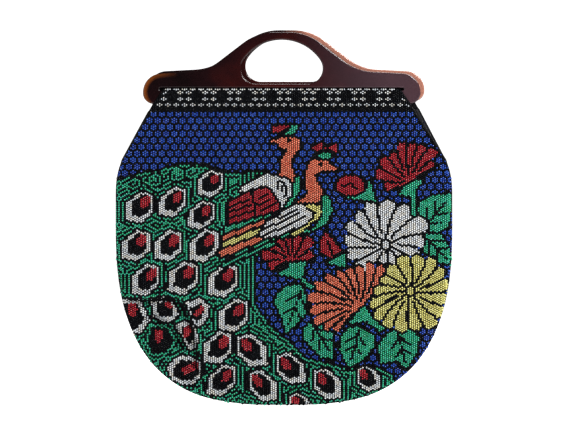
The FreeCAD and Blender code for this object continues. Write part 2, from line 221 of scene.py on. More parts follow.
def outline_points():
    """The pouch's outline from one slit end down round the base to the other, as even points."""
    t = np.linspace(0, 1, 240)
    upright_z = -SLIT - (WIDEST - SLIT) * t
    angle = t * math.pi / 2
    base_x = HALF * np.cos(angle) ** (2 / SIDE_POWER)
    base_z = -WIDEST - BASE_HEIGHT * np.sin(angle) ** (2 / BASE_POWER)
    x = np.concatenate([half_width(upright_z), base_x])
    z = np.concatenate([upright_z, base_z])
    return np.concatenate([x, -x[::-1]]), np.concatenate([z, z[::-1]])


OUTLINE_X, OUTLINE_Z = outline_points()


def edge_distance(x, z):
    """Signed distance inside the pouch's outline, and the unit direction straight out of it."""
    shape = x.shape
    x, z = x.ravel(), z.ravel()
    best = np.full(x.size, 1e9)
    out_x, out_z = np.zeros(x.size), np.zeros(x.size)
    for start in range(0, x.size, 4000):
        part = slice(start, start + 4000)
        dx = OUTLINE_X[None, :] - x[part, None]
        dz = OUTLINE_Z[None, :] - z[part, None]
        d2 = dx * dx + dz * dz
        pick = d2.argmin(1)
        row = np.arange(pick.size)
        best[part] = np.sqrt(d2[row, pick])
        out_x[part], out_z[part] = dx[row, pick], dz[row, pick]
    inside = (np.abs(x) < half_width(z)) & (z > -WIDEST - BASE_HEIGHT)
    sign = np.where(inside, 1.0, -1.0)
    length = np.maximum(best, 1e-6)
    flat = (sign * best, sign * out_x / length, sign * out_z / length)
    return tuple(values.reshape(shape) for values in flat)


def cloth_face(x, z, side):
    """Points and outward normals of one side's outer face for flat places x, z on the cloth.
    Below the slits the last few millimetres turn round the side and base edges as a quarter of a round."""
    top = FLAP_TOP[side]
    turn = EDGE_TURN * smooth((-SLIT - z) / EDGE_RUN) + 0.02
    inside, out_x, out_z = edge_distance(x, z)
    angle = np.clip((turn - inside) / turn, 0, 1.5)
    angle = np.where(z > -SLIT, 0, angle)
    shift = np.where(angle > 0, inside - turn * (1 - np.sin(angle)), 0)
    px, pz = x + out_x * shift, z + out_z * shift

    def depth(a, b):
        whole = np.where(b > -SLIT, flap_depth(a, b, top), pouch_depth(a, b))
        return whole - slack(a, b, side)

    step = 0.5
    slope_x = (depth(px + step, pz) - depth(px - step, pz)) / (2 * step)
    slope_z = (depth(px, pz + step) - depth(px, pz - step)) / (2 * step)
    face = np.stack([-slope_x, np.full_like(px, side), -slope_z], -1)
    face /= np.linalg.norm(face, axis=-1, keepdims=True)
    round_part = np.stack([out_x, np.zeros_like(px), out_z], -1)
    normal = face * np.cos(angle)[..., None] + round_part * np.sin(angle)[..., None]
    normal /= np.linalg.norm(normal, axis=-1, keepdims=True)
    points = np.stack([px, side * depth(px, pz) * np.cos(angle), pz], -1)
    return points, normal


def flap_edge(side, z):
    """Left and right edges of a flap at a height: straight slants from its head to the slit line."""
    foot_z, head_z = -SLIT + 0.2, FLAP_TOP[side] - 0.2
    share = (z - foot_z) / (head_z - foot_z)
    shift = side * HANDLE_SHIFT
    head_half = SLEEVE_HALF + SLEEVE_SPREAD - PIPING_ROOM
    foot_half = HEAD_HALF - PIPING_ROOM
    left = -foot_half + (shift - head_half + foot_half) * share
    right = foot_half + (shift + head_half - foot_half) * share
    return left, right


# ---- mesh helpers


def put_in_scene(name, data):
    """A new object of the given data, at the origin."""
    thing = bpy.data.objects.new(name, data)
    bpy.context.scene.collection.objects.link(thing)
    return thing


def put_mesh(name, points, faces, material):
    """A smooth mesh object at the origin, from points in millimetres and lists of corners."""
    mesh = bpy.data.meshes.new(name)
    mesh.from_pydata((np.asarray(points, float).reshape(-1, 3) * MM).tolist(), [], faces)
    mesh.polygons.foreach_set("use_smooth", np.ones(len(mesh.polygons), bool))
    mesh.update()
    mesh.materials.append(material)
    return put_in_scene(name, mesh)


def quads(index):
    """Quads between the neighbours of a grid of point numbers."""
    return np.stack([index[:-1, :-1], index[:-1, 1:], index[1:, 1:], index[1:, :-1]], -1).reshape(-1, 4)


def sheet_mesh(name, points, normals, material):
    """A closed thin sheet: the grid of points is its outer face, and its inner face is one thickness below."""
    rows, columns = points.shape[:2]
    count = rows * columns
    index = np.arange(count).reshape(rows, columns)
    outer = quads(index)
    inner = quads(index + count)[:, ::-1]
    rim = np.concatenate([index[0, :], index[1:, -1], index[-1, -2::-1], index[-2:0:-1, 0]])
    after = np.roll(rim, -1)
    wall = np.stack([after, rim, rim + count, after + count], -1)
    faces = np.concatenate([outer, inner, wall])
    both = np.concatenate([points.reshape(-1, 3), (points - normals * SHEET_THICKNESS).reshape(-1, 3)])
    return put_mesh(name, both, faces.tolist(), material)


# ---- beads


def bead_template():
    """One bead as a low dome: a hexagon at its foot, one turned by half a side above it, and a crown."""
    turn = np.arange(6) * math.pi / 3
    foot = np.stack([np.cos(turn), np.sin(turn), np.full(6, -0.55)], -1)
    between = turn + math.pi / 6
    waist = np.stack([0.78 * np.cos(between), 0.78 * np.sin(between), np.full(6, 0.28)], -1)
    crown = np.array([[0.0, 0.0, 0.55]])
    points = np.concatenate([foot, waist, crown])
    faces = []
    for i in range(6):
        j = (i + 1) % 6
        faces += [(i, j, 6 + i), (j, 6 + j, 6 + i), (6 + i, 6 + j, 12)]
    faces += [(0, 2, 1), (0, 3, 2), (0, 4, 3), (0, 5, 4)]
    return points, np.array(faces)


def bead_piece(name, points, normals, material, seed, swell=0.5):
    """Beads at the given points, each standing on its normal, with small seeded differences of tilt, size,
    place and tone."""
    luck = np.random.default_rng(seed)
    count = len(points)
    template, triangles = bead_template()
    up = np.array([0.0, 0.0, 1.0])
    across = np.cross(np.broadcast_to(up, normals.shape), normals)
    across /= np.maximum(np.linalg.norm(across, axis=1, keepdims=True), 1e-9)
    lift = np.cross(normals, across)
    tilt = luck.normal(0, 0.09, (count, 2))
    normal = normals + across * tilt[:, :1] + lift * tilt[:, 1:]
    normal /= np.linalg.norm(normal, axis=1, keepdims=True)
    size = 1 + luck.normal(0, 0.03, (count, 1, 1))
    spread = np.stack([across * COLUMN * swell, lift * ROW * swell, normal * BEAD_DEPTH], 1) * size
    where = points + (across * luck.normal(0, 0.07, (count, 1)) + lift * luck.normal(0, 0.07, (count, 1)))
    where = where - normals * BEAD_DEPTH / 2
    vertices = where[:, None, :] + template @ spread
    faces = (triangles[None] + (np.arange(count) * len(template))[:, None, None]).reshape(-1, 3)
    mesh = bpy.data.meshes.new(name)
    mesh.vertices.add(count * len(template))
    mesh.vertices.foreach_set("co", (vertices * MM).astype(np.float32).ravel())
    mesh.loops.add(faces.size)
    mesh.loops.foreach_set("vertex_index", faces.ravel().astype(np.int32))
    mesh.polygons.add(len(faces))
    mesh.polygons.foreach_set("loop_start", np.arange(0, faces.size, 3, dtype=np.int32))
    mesh.polygons.foreach_set("use_smooth", np.ones(len(faces), bool))
    mesh.update(calc_edges=True)
    tone = mesh.attributes.new("tone", "FLOAT", "POINT")
    tone.data.foreach_set("value", np.repeat(luck.random(count), len(template)).astype(np.float32))
    chart = mesh.uv_layers.new(name="OFBake")
    # the chart for baking is a plain view along Y, 400 mm wide and 450 mm high
    place = vertices.reshape(-1, 3)[faces.ravel()]
    uv = np.stack([place[:, 0] / 400 + 0.5, place[:, 2] / 450 + 0.98], -1)
    chart.data.foreach_set("uv", uv.astype(np.float32).ravel())
    mesh.materials.append(material)
    return put_in_scene(name, mesh)


# ---- materials


def new_material(name):
    """A material, its node tree and its Principled shader."""
    material = bpy.data.materials.new(name)
    material.use_nodes = True
    return material, material.node_tree, material.node_tree.nodes["Principled BSDF"]


def math_node(tree, operation, *values, clamp=False):
    """A Math node: each value is a number or a socket."""
    node = tree.nodes.new("ShaderNodeMath")
    node.operation = operation
    node.use_clamp = clamp
    for socket, value in zip(node.inputs, values):
        if isinstance(value, (int, float)):
            socket.default_value = value
        else:
            tree.links.new(value, socket)
    return node.outputs[0]


def noise_node(tree, vector, scale, detail=3.0):
    """The value of a noise over a vector."""
    node = tree.nodes.new("ShaderNodeTexNoise")
    node.inputs["Scale"].default_value = scale
    node.inputs["Detail"].default_value = detail
    tree.links.new(vector, node.inputs["Vector"])
    return node.outputs["Fac"]


def ramp_node(tree, value, stops):
    """A colour ramp: each stop is a position and a colour."""
    node = tree.nodes.new("ShaderNodeValToRGB")
    elements = node.color_ramp.elements
    elements[0].position, elements[0].color = stops[0][0], (*stops[0][1], 1)
    elements[1].position, elements[1].color = stops[-1][0], (*stops[-1][1], 1)
    for position, colour in stops[1:-1]:
        elements.new(position).color = (*colour, 1)
    tree.links.new(value, node.inputs["Fac"])
    return node.outputs["Color"]


def mix_node(tree, share, first, second):
    """One colour over another by a share."""
    node = tree.nodes.new("ShaderNodeMix")
    node.data_type = "RGBA"
    tree.links.new(share, node.inputs["Factor"])
    for socket, value in ((node.inputs["A"], first), (node.inputs["B"], second)):
        if isinstance(value, tuple):
            socket.default_value = (*value, 1)
        else:
            tree.links.new(value, socket)
    return node.outputs["Result"]


def new_group(name, inputs, outputs):
    """A node group with named sockets: its tree, its input node and its output node."""
    group = bpy.data.node_groups.new(name, "ShaderNodeTree")
    for label, kind, value in inputs:
        socket = group.interface.new_socket(name=label, in_out="INPUT", socket_type=kind)
        if value is not None:
            socket.default_value = value
    for label, kind in outputs:
        group.interface.new_socket(name=label, in_out="OUTPUT", socket_type=kind)
    return group, group.nodes.new("NodeGroupInput"), group.nodes.new("NodeGroupOutput")


def bead_tones():
    """The colour of a bead: its own seeded tone runs from the first colour to the second and the third."""
    colours = [(label, "NodeSocketColor", None) for label in ("First", "Second", "Third")]
    group, inlet, outlet = new_group("bead_tones", colours, [("Color", "NodeSocketColor")])
    tone = group.nodes.new("ShaderNodeAttribute")
    tone.attribute_name = "tone"
    low = math_node(group, "MULTIPLY", tone.outputs["Fac"], 2.0, clamp=True)
    high = math_node(group, "MULTIPLY_ADD", tone.outputs["Fac"], 2.0, -1.0, clamp=True)
    lower = mix_node(group, low, inlet.outputs["First"], inlet.outputs["Second"])
    group.links.new(mix_node(group, high, lower, inlet.outputs["Third"]), outlet.inputs["Color"])
    return group


def plain_weave():
    """Plain weave: two sets of fine waves at right angles raise the surface, and a slow noise shades it."""
    group, inlet, outlet = new_group(
        "plain_weave",
        [("Scale", "NodeSocketFloat", 300.0), ("Height", "NodeSocketFloat", 0.0001)],
        [("Shade", "NodeSocketFloat"), ("Normal", "NodeSocketVector")],
    )
    place = group.nodes.new("ShaderNodeTexCoord").outputs["Object"]
    waves = []
    for direction in ("X", "Z"):
        wave = group.nodes.new("ShaderNodeTexWave")
        wave.bands_direction = direction
        group.links.new(inlet.outputs["Scale"], wave.inputs["Scale"])
        group.links.new(place, wave.inputs["Vector"])
        waves.append(wave.outputs["Fac"])
    bump = group.nodes.new("ShaderNodeBump")
    bump.inputs["Strength"].default_value = 0.5
    group.links.new(inlet.outputs["Height"], bump.inputs["Distance"])
    group.links.new(math_node(group, "MAXIMUM", *waves), bump.inputs["Height"])
    group.links.new(noise_node(group, place, 60), outlet.inputs["Shade"])
    group.links.new(bump.outputs["Normal"], outlet.inputs["Normal"])
    return group


TONES = bead_tones()
WEAVE = plain_weave()


def bead_material(name, tones, roughness=0.18, shine=0.5):
    """Glossy glass in three tones."""
    material, tree, shader = new_material(name)
    group = tree.nodes.new("ShaderNodeGroup")
    group.node_tree = TONES
    for socket, colour in zip(group.inputs, tones):
        socket.default_value = (*colour, 1)
    tree.links.new(group.outputs["Color"], shader.inputs["Base Color"])
    shader.inputs["Roughness"].default_value = roughness
    shader.inputs["Specular IOR Level"].default_value = shine
    return material


BEADS = {
    "black": bead_material(
        "black_glass", [(0.002, 0.002, 0.003), (0.003, 0.004, 0.006), (0.007, 0.008, 0.011)], 0.16, 0.2
    ),
    "blue": bead_material("cobalt_glass", [(0.010, 0.036, 0.26), (0.032, 0.105, 0.44), (0.032, 0.062, 0.30)]),
    "green": bead_material("emerald_glass", [(0.020, 0.30, 0.14), (0.045, 0.42, 0.25), (0.040, 0.36, 0.26)]),
    "red": bead_material("crimson_glass", [(0.33, 0.018, 0.026), (0.43, 0.032, 0.044), (0.27, 0.012, 0.028)]),
    "orange": bead_material("coral_glass", [(0.60, 0.155, 0.09), (0.68, 0.22, 0.135), (0.54, 0.12, 0.07)]),
    "yellow": bead_material("mustard_glass", [(0.57, 0.53, 0.18), (0.64, 0.62, 0.25), (0.50, 0.45, 0.13)]),
    "white": bead_material("chalk_glass", [(0.56, 0.53, 0.47), (0.68, 0.70, 0.71), (0.48, 0.51, 0.55)]),
}
COLOURS = list(BEADS)

# ---- the picture
# Drawn for the front and seen the same way round on the rear. Places are x, z in millimetres.

BLACK, BLUE, GREEN, RED, ORANGE, YELLOW, WHITE = range(7)
LINE = 2.7
FINE_LINE = 2.4
CONTOUR_PITCH = 4.6
CONTOUR_GAP = 2.1


class Chart:
    """The bead chart: the place and the colour of every bead of one side."""

    def __init__(self, column, row, x, z):
        self.x, self.z = x, z
        self.colour = ground_pattern(column, row)

    def fill(self, distance, colour, outline=LINE):
        """Colours the beads where distance is below 0, inside a black line of the outline's width."""
        self.colour[(distance >= 0) & (distance < outline)] = BLACK
        self.colour[distance < 0] = colour

    def patch(self, points, colour, outline=LINE):
        """A filled polygon."""
        self.fill(polygon_distance(self.x, self.z, points), colour, outline)

    def stroke(self, points, colour, width=LINE, outline=0.0):
        """A run of straight lines of an even width."""
        self.fill(stroke_distance(self.x, self.z, points) - width / 2, colour, outline)

    def oval(self, centre, reach_x, reach_z, colour, outline=LINE):
        """A filled ellipse."""
        across, up = (self.x - centre[0]) / reach_x, (self.z - centre[1]) / reach_z
        self.fill((np.hypot(across, up) - 1) * min(reach_x, reach_z), colour, outline)


def ground_pattern(column, row):
    """Blue clusters of seven beads, one column of three between two of two, on a black net."""
    twice = np.round(2 * row).astype(int)
    blue = np.zeros(column.shape, bool)
    for dc, dr in ((0, -2), (0, 0), (0, 2), (1, -1), (1, 1), (-1, -1), (-1, 1)):
        c, r = column - dc, twice - dr - 3
        blue |= (r % 6 == 0) & ((c + 1 - 2 * (r // 6)) % 4 == 0)
    return np.where(blue, BLUE, BLACK)


def header_picture(side, column, row):
    """White florets of four beads on black: two rows of pairs between two even rows."""
    twice = np.round(2 * row).astype(int)
    rise = 0 if side == FRONT else 2
    white = np.zeros(column.shape, bool)
    for centre, paired in ((61, False), (55, True), (49, True), (45, False)):
        for dc, dr in ((0, -1), (0, 1), (-1, 0), (1, 0)):
            c, r = column - dc, twice - dr + rise
            placed = ((c % 12 == 2) | (c % 12 == 10)) if paired else c % 4 == 0
            white |= (r == centre) & placed
    return np.where(white, WHITE, BLACK)


TAIL = [
    (-198, -162), (-187, -162), (-166, -156), (-146, -153), (-121, -145), (-106, -145), (-79, -150),
    (-67, -156), (-22, -154), (-2, -197), (18, -222), (-34, -250), (-34, -306), (-15, -332), (9, -351),
    (23, -367), (66, -378), (107, -378), (125, -387), (133, -438), (-212, -438),
]
# each feather eye: its middle, its lean to the right or left, and its reach to the side
FEATHERS = [
    (-85, -167, 0.5, 15), (-166, -194, 0.9, 17), (-128, -188, 1.3, 16), (-95, -203, 0.9, 15.5),
    (-170, -238, 0.9, 17), (-133, -238, 1.0, 17), (-92, -238, 1.3, 17.5), (-159, -277, 1.2, 17),
    (-116, -275, 0.7, 18), (-70, -278, 1.0, 18), (-58, -318, 1.1, 18), (-76, -355, 1.1, 17.5),
    (-36, -358, -1.2, 18), (-72, -393, 1.5, 17), (-24, -399, -1.4, 17), (8, -379, -1.2, 17),
    (50, -397, -1.3, 17), (97, -391, -0.8, 14), (18, -421, -0.8, 13),
]
# the feather eyes that the crumple bends: the ring, its inside, and the red patch
BENT_EYES = [
    (
        [(-200, -299), (-166, -299), (-154, -324), (-165, -338), (-200, -346)],
        [(-200, -304), (-169, -304), (-160, -323), (-170, -334), (-200, -341)],
        [(-179, -304), (-170, -305), (-168, -312), (-172, -321), (-179, -317)],
    ),
    (
        [(-153, -300), (-137, -296), (-128, -300), (-120, -316), (-128, -325), (-141, -326), (-150, -319)],
        [(-147, -304), (-137, -301), (-129, -308), (-126, -315), (-130, -320), (-141, -320), (-146, -313)],
        [(-139, -303), (-131, -301), (-126, -309), (-134, -310)],
    ),
    (
        [(-112, -303), (-97, -298), (-85, -306), (-88, -321), (-96, -331), (-103, -328)],
        [(-108, -309), (-96, -304), (-90, -308), (-94, -319), (-99, -326), (-105, -320)],
        [(-101, -311), (-93, -306), (-90, -311), (-96, -317), (-104, -319)],
    ),
    (
        [(-125, -331), (-114, -324), (-105, -328), (-98, -342), (-101, -355), (-109, -358), (-116, -344)],
        [(-118, -331), (-108, -329), (-103, -341), (-105, -349), (-110, -351), (-116, -342)],
        [(-116, -331), (-107, -329), (-105, -335), (-109, -341), (-114, -343)],
    ),
    # this eye in the hollow has no white ring: partly hidden by the fold, and partly left out as painted shade
    (
        [],
        [(-150, -333), (-136, -334), (-127, -347), (-136, -358), (-150, -361), (-155, -350)],
        [(-148, -335), (-138, -335), (-141, -349), (-147, -351)],
    ),
    (
        [
            (-134, -379), (-127, -369), (-117, -363), (-102, -367), (-95, -372), (-95, -387), (-104, -398),
            (-116, -398), (-129, -393),
        ],
        [(-128, -379), (-117, -368), (-98, -373), (-98, -385), (-105, -392), (-119, -393), (-127, -388)],
        [(-118, -380), (-108, -372), (-98, -371), (-99, -379), (-114, -386)],
    ),
]
# the middles of the curls along the tail's upper edge
CURLS = [(-173, -167), (-149, -163), (-122, -157), (-105, -154), (-56, -176)]


def hexagon(centre, reach_x, reach_z, lean):
    """A hexagon that stands on a corner, with its right side pushed up when it leans to the right."""
    shape = [(0.1, 1), (0.95, 0.6), (0.95, -0.45), (0.1, -1), (-0.95, -0.62), (-0.9, 0.42)]
    hand = math.copysign(1, lean or 1)
    push = abs(lean) * 0.2 * reach_x
    return [(centre[0] + reach_x * a * hand, centre[1] + reach_z * b + push * a) for a, b in shape]


def feather_eyes():
    """Every feather eye as three polygons: a white ring that is thick on its lower outer side, the black
    inside, and a red patch near the upper corner."""
    eyes = []
    for x, z, lean, size in FEATHERS:
        hand = math.copysign(1, lean)
        eyes.append((
            hexagon((x, z), size, 1.06 * size, lean),
            hexagon((x + 0.11 * size * hand, z + 0.1 * size), 0.7 * size, 0.78 * size, lean),
            hexagon((x + 0.37 * size * hand, z + 0.36 * size), 0.35 * size, 0.42 * size, 1.5 * lean),
        ))
    return eyes + BENT_EYES


def draw_tail(chart):
    """Green lines a bead wide that run round the feather eyes at even distances, then the eyes themselves."""
    region = polygon_distance(chart.x, chart.z, TAIL)
    nearest = np.full(chart.x.shape, 1e9)
    eyes = feather_eyes()
    for ring, inside, _ in eyes:
        nearest = np.minimum(nearest, polygon_distance(chart.x, chart.z, ring or inside))
    for x, z in CURLS:
        away = polygon_distance(chart.x, chart.z, hexagon((x, z), 10, 9, 0))
        nearest = np.where(away < 0.5, away + 24.5, nearest)
    edge = -region
    contour = np.where((edge < 6.5) & (nearest < 20), edge + CONTOUR_GAP, nearest)
    green = (contour % CONTOUR_PITCH) > CONTOUR_GAP
    chart.colour[region < LINE] = BLACK
    chart.colour[(region < 0) & green] = GREEN
    for ring, inside, red in eyes:
        if ring:
            chart.patch(ring, WHITE)
        chart.patch(inside, BLACK, 0)
        chart.patch(red, RED, 0)


def draw_left_peacock(chart):
    """The bird that looks to the left: neck and head, crest, white shoulder, red wing, green back band."""
    chart.patch([
        (15, -157), (19, -163), (19, -169), (14, -182), (8, -191), (-7, -200), (-23, -207), (-67, -222),
        (-67, -216), (-27, -205), (-6, -198), (4, -190), (9, -179), (11, -168), (13, -159),
    ], GREEN)
    chart.patch([(-36, -174), (-19, -169), (-5, -192), (-7, -197), (-64, -213), (-64, -188)], RED)
    chart.stroke([(-38, -173), (-34, -191), (-32, -205)], BLACK)
    for start, end in (
        ((-64, -194), (-40, -185)), ((-64, -200), (-38, -191)), ((-64, -207), (-36, -198)),
        ((-31, -184), (-18, -179)), ((-30, -191), (-15, -185)), ((-29, -198), (-9, -190)),
    ):
        chart.stroke([start, end], BLACK, 2.3)
    chart.patch([
        (-50, -177), (-50, -173), (-39, -165), (-30, -160), (-19, -156), (4, -161), (8, -168), (8, -180),
        (1, -187), (-2, -194), (-6, -186), (-10, -178), (-17, -170), (-22, -169), (-34, -172),
    ], WHITE)
    chart.stroke([(-7, -172), (-7, -165), (-1, -165), (2, -170), (2, -179), (-1, -182)], BLACK, FINE_LINE)
    chart.stroke([(-3, -171), (-2, -176)], BLACK, FINE_LINE)
    chart.patch([
        (-16, -118), (-7, -116), (2, -113), (8, -113), (15, -115), (19, -120), (19, -125), (13, -132),
        (9, -139), (7, -144), (11, -152), (12, -158), (9, -165), (5, -159), (-7, -157), (-3, -153),
        (-4, -143), (-1, -135), (3, -131), (3, -126), (-1, -127), (-6, -123), (-7, -121),
    ], ORANGE)
    chart.oval((6, -117), 3.2, 1.9, BLACK, 0)
    chart.patch([(-13, -102), (6, -99), (5, -103), (-6, -109), (-13, -107)], RED)
    chart.patch([(8, -99), (17, -101), (15, -104), (11, -109), (4, -111), (1, -109), (7, -105)], GREEN)


def draw_right_peacock(chart):
    """The bird that looks to the right: neck and head, crest, collar, striped body and wing, and green lines
    below."""
    chart.stroke([(32, -220), (-8, -228), (-72, -254)], GREEN, 2.6, LINE)
    chart.stroke([(-12, -235), (-70, -260)], GREEN, 2.6, LINE)
    chart.patch([
        (46, -177), (53, -187), (55, -197), (48, -214), (32, -220), (38, -213), (43, -204), (44, -196),
        (42, -186),
    ], GREEN)
    chart.patch([(-23, -208), (-23, -213), (-70, -233), (-70, -227)], ORANGE)
    chart.patch([(-27, -217), (-28, -223), (-71, -242), (-71, -235)], YELLOW)
    chart.patch([(-24, -226), (-24, -231), (-71, -251), (-75, -244)], ORANGE)
    chart.patch([
        (13, -191), (24, -191), (32, -199), (31, -206), (25, -212), (-6, -226), (-22, -229), (-29, -226),
        (-20, -211),
    ], WHITE)
    for start, end in (((-27, -221), (17, -201)), ((-24, -227), (24, -205)), ((-8, -207), (14, -197))):
        chart.stroke([start, end], BLACK, 2.3)
    chart.patch([
        (25, -192), (39, -189), (43, -199), (38, -208), (29, -214), (14, -227), (7, -224), (20, -217),
        (34, -208), (36, -200), (29, -195),
    ], YELLOW, 2.2)
    chart.patch([
        (63, -151), (48, -141), (41, -139), (34, -139), (27, -145), (26, -153), (25, -161), (25, -168),
        (27, -179), (16, -188), (40, -189), (44, -175), (38, -165), (35, -158), (40, -153), (49, -152),
    ], ORANGE)
    chart.oval((41, -145), 2.9, 1.9, BLACK, 0)
    chart.patch([(32, -126), (43, -120), (45, -126), (39, -131)], RED)
    chart.patch([(46, -126), (60, -122), (60, -130)], RED)
    chart.oval((46, -135), 7.5, 3.4, GREEN)


def draw_flower(chart, centre, petals, colour, heart=4.5, swirl=0.0, notch=0.17):
    """Petals as sectors round a centre. A petal is (its direction in degrees, its reach): its tip is rounded,
    and a black line one bead wide parts it from the next. A heart of 0 leaves out the disc in the middle."""
    dx, dz = chart.x - centre[0], chart.z - centre[1]
    radius = np.hypot(dx, dz)
    angle = np.degrees(np.arctan2(dz, dx)) + swirl * (radius - 30)
    directions = np.array([p[0] for p in petals], float)
    reaches = np.array([p[1] for p in petals], float)
    whole = directions[-1] - directions[0] > 300
    if whole:
        gaps = np.diff(np.append(directions, directions[0] + 360))
        edges = directions + gaps / 2
        low_edges = np.roll(edges, 1)
        low_edges[0] -= 360
    else:
        gaps = np.diff(directions)
        edges = np.append(directions[:-1] + gaps / 2, directions[-1] + gaps[-1] / 2)
        low_edges = np.append(directions[0] - gaps[0] / 2, edges[:-1])
    distance = np.full(chart.x.shape, 1e9)
    line = np.zeros(chart.x.shape, bool)
    for number, (low, high, reach) in enumerate(zip(low_edges, edges, reaches)):
        turn = (angle - low) % 360
        width = high - low
        share = turn / width
        inside = share < 1
        rim = reach * (1 - notch * np.abs(2 * share - 1) ** 3)
        distance = np.where(inside, radius - rim, distance)
        room = radius * width * math.pi / 180
        low_room, high_room = (4.6, 2.4) if number % 2 else (2.4, 4.6)
        low_line = (share * room < LINE / 2) & (room > low_room)
        high_line = ((1 - share) * room < LINE / 2) & (room > high_room)
        line |= inside & (low_line | high_line)
    outside = distance > 1e8
    if not whole:
        for edge in (low_edges[0], edges[-1]):
            ex, ez = math.cos(math.radians(edge)), math.sin(math.radians(edge))
            along = dx * ex + dz * ez
            foot = np.maximum(along, 0)
            off = np.hypot(dx - foot * ex, dz - foot * ez)
            reach = reaches[0] if edge == low_edges[0] else reaches[-1]
            distance = np.where(outside & (along < reach), np.minimum(distance, off), distance)
    chart.fill(distance, colour)
    chart.colour[line & (distance < 0)] = BLACK
    if heart:
        chart.fill(radius - heart, colour, 2.2)


def draw_leaf(chart, outline, stalk, tip):
    """A green leaf with a black midrib and two slanting veins on each side of it."""
    chart.patch(outline, GREEN)
    start, end = np.array(stalk, float), np.array(tip, float)
    along = end - start
    length = np.hypot(*along)
    along /= length
    across = np.array([-along[1], along[0]])
    chart.stroke([start, start + along * length * 0.82], BLACK, FINE_LINE)
    for i in range(2):
        foot = start + along * length * (0.16 + 0.28 * i)
        for hand in (-1, 1):
            vein_tip = foot + (0.72 * along + 0.69 * across * hand) * length * (0.34 - 0.06 * i)
            chart.stroke([foot, vein_tip], BLACK, 2.35)


# each petal: its direction in degrees and its reach
WHITE_FLOWER = [
    (-14, 40), (8, 45), (33, 54), (62, 52), (94, 51), (115, 53), (136, 49), (156, 50), (176, 47), (197, 46),
    (222, 41), (256, 21), (296, 24), (325, 31),
]
ORANGE_FLOWER = [
    (54, 56), (68, 54), (83, 49), (99, 48), (113, 49), (127, 53), (143, 58), (159, 59), (176, 55), (191, 53),
    (206, 45), (221, 37),
]
YELLOW_FLOWER = [
    (8, 46), (29, 46), (49, 46), (73, 42), (103, 41), (132, 38), (156, 37), (177, 42), (195, 49), (212, 51),
    (230, 50), (250, 48), (276, 45), (300, 50), (321, 49), (344, 46),
]
TOP_FLOWER = [(38, 34), (56, 46), (75, 43), (90, 43), (107, 45), (126, 38), (146, 42), (169, 41), (192, 30)]
LOW_FLOWER = [(18, 27), (46, 35), (72, 29), (95, 29), (117, 29), (141, 33), (166, 33), (196, 25)]


def draw_flowers(chart):
    """The flowers on the right: three full ones, two red ones with green cups, two buds and the leaves."""
    draw_leaf(chart, [
        (193, -178), (193, -195), (189, -215), (175, -223), (162, -218), (153, -199), (157, -188), (169, -181),
    ], (159, -219), (192, -181))
    draw_leaf(chart, [
        (162, -225), (180, -225), (192, -245), (195, -260), (178, -257), (159, -243),
    ], (161, -227), (194, -260))
    draw_leaf(chart, [
        (18, -283), (26, -296), (26, -313), (20, -322), (2, -338), (-2, -322), (-10, -305), (-9, -294),
        (4, -284),
    ], (21, -286), (2, -336))
    draw_leaf(chart, [
        (32, -323), (56, -338), (57, -367), (43, -366), (23, -345), (23, -333),
    ], (31, -326), (56, -366))
    draw_leaf(chart, [
        (86, -330), (102, -340), (104, -352), (90, -370), (74, -377), (64, -357), (65, -342), (74, -333),
    ], (87, -332), (75, -376))
    draw_leaf(chart, [
        (108, -352), (120, -338), (129, -335), (143, -333), (155, -343), (153, -361), (141, -380),
        (131, -370), (111, -373),
    ], (130, -336), (141, -379))
    chart.patch([(79, -313), (93, -308), (101, -320), (116, -334), (110, -336), (94, -324), (74, -327)], GREEN)
    draw_flower(chart, (116, -237), WHITE_FLOWER, WHITE, 4.5, 0.25)
    draw_flower(chart, (85, -310), ORANGE_FLOWER, ORANGE, 0, -0.3)
    draw_flower(chart, (145, -290), YELLOW_FLOWER, YELLOW, 4.0, -0.25)
    chart.patch([
        (160, -163), (152, -172), (150, -181), (152, -203), (147, -203), (146, -182), (132, -179),
        (138, -171), (143, -164),
    ], GREEN)
    draw_flower(chart, (145, -164), TOP_FLOWER, RED, 0, 0.3, 0.08)
    chart.patch([
        (26, -255), (23, -264), (21, -275), (34, -285), (29, -287), (18, -276), (-6, -270), (5, -264),
        (5, -257),
    ], GREEN)
    draw_flower(chart, (7, -255), LOW_FLOWER, RED, 0, -0.3, 0.08)
    chart.patch([(98, -163), (101, -172), (105, -187), (73, -183), (88, -174), (93, -167)], GREEN)
    chart.oval((76, -169), 16, 11, RED)
    chart.stroke([(66, -170), (76, -167), (83, -172)], BLACK, FINE_LINE)
    chart.patch([(71, -245), (69, -262), (48, -257)], GREEN)
    chart.patch([(48, -222), (65, -243), (53, -252), (42, -245), (42, -232)], RED)
    chart.stroke([(49, -232), (56, -249)], BLACK, FINE_LINE)


def picture(column, row, x, z):
    """The colour of every bead: the net, the tail, the flowers and then the two birds."""
    chart = Chart(column, row, x, z)
    draw_tail(chart)
    draw_flowers(chart)
    draw_left_peacock(chart)
    draw_right_peacock(chart)
    return chart.colour


def lattice(x_low, x_high, z_low, z_high):
    """Column and row numbers and flat places of every bead in a rectangle. Each second column sits half a
    bead lower."""
    columns = np.arange(math.ceil(x_low / COLUMN), math.floor(x_high / COLUMN) + 1)
    rows = np.arange(math.ceil(-z_high / ROW), math.floor(-z_low / ROW) + 1)
    c, r = np.meshgrid(columns, rows)
    c, r = c.ravel(), r.ravel() + 0.5 * (c.ravel() % 2)
    return c, r, c * COLUMN, -r * ROW


def blend_at_slits(piece, side):
    """Bakes the piece's place into its mesh; nothing bends at the slits here."""
    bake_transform(piece)


def blend_at_head(piece, side):
    """Bakes the piece's place into its mesh; nothing bends under the flap's top here."""
    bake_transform(piece)


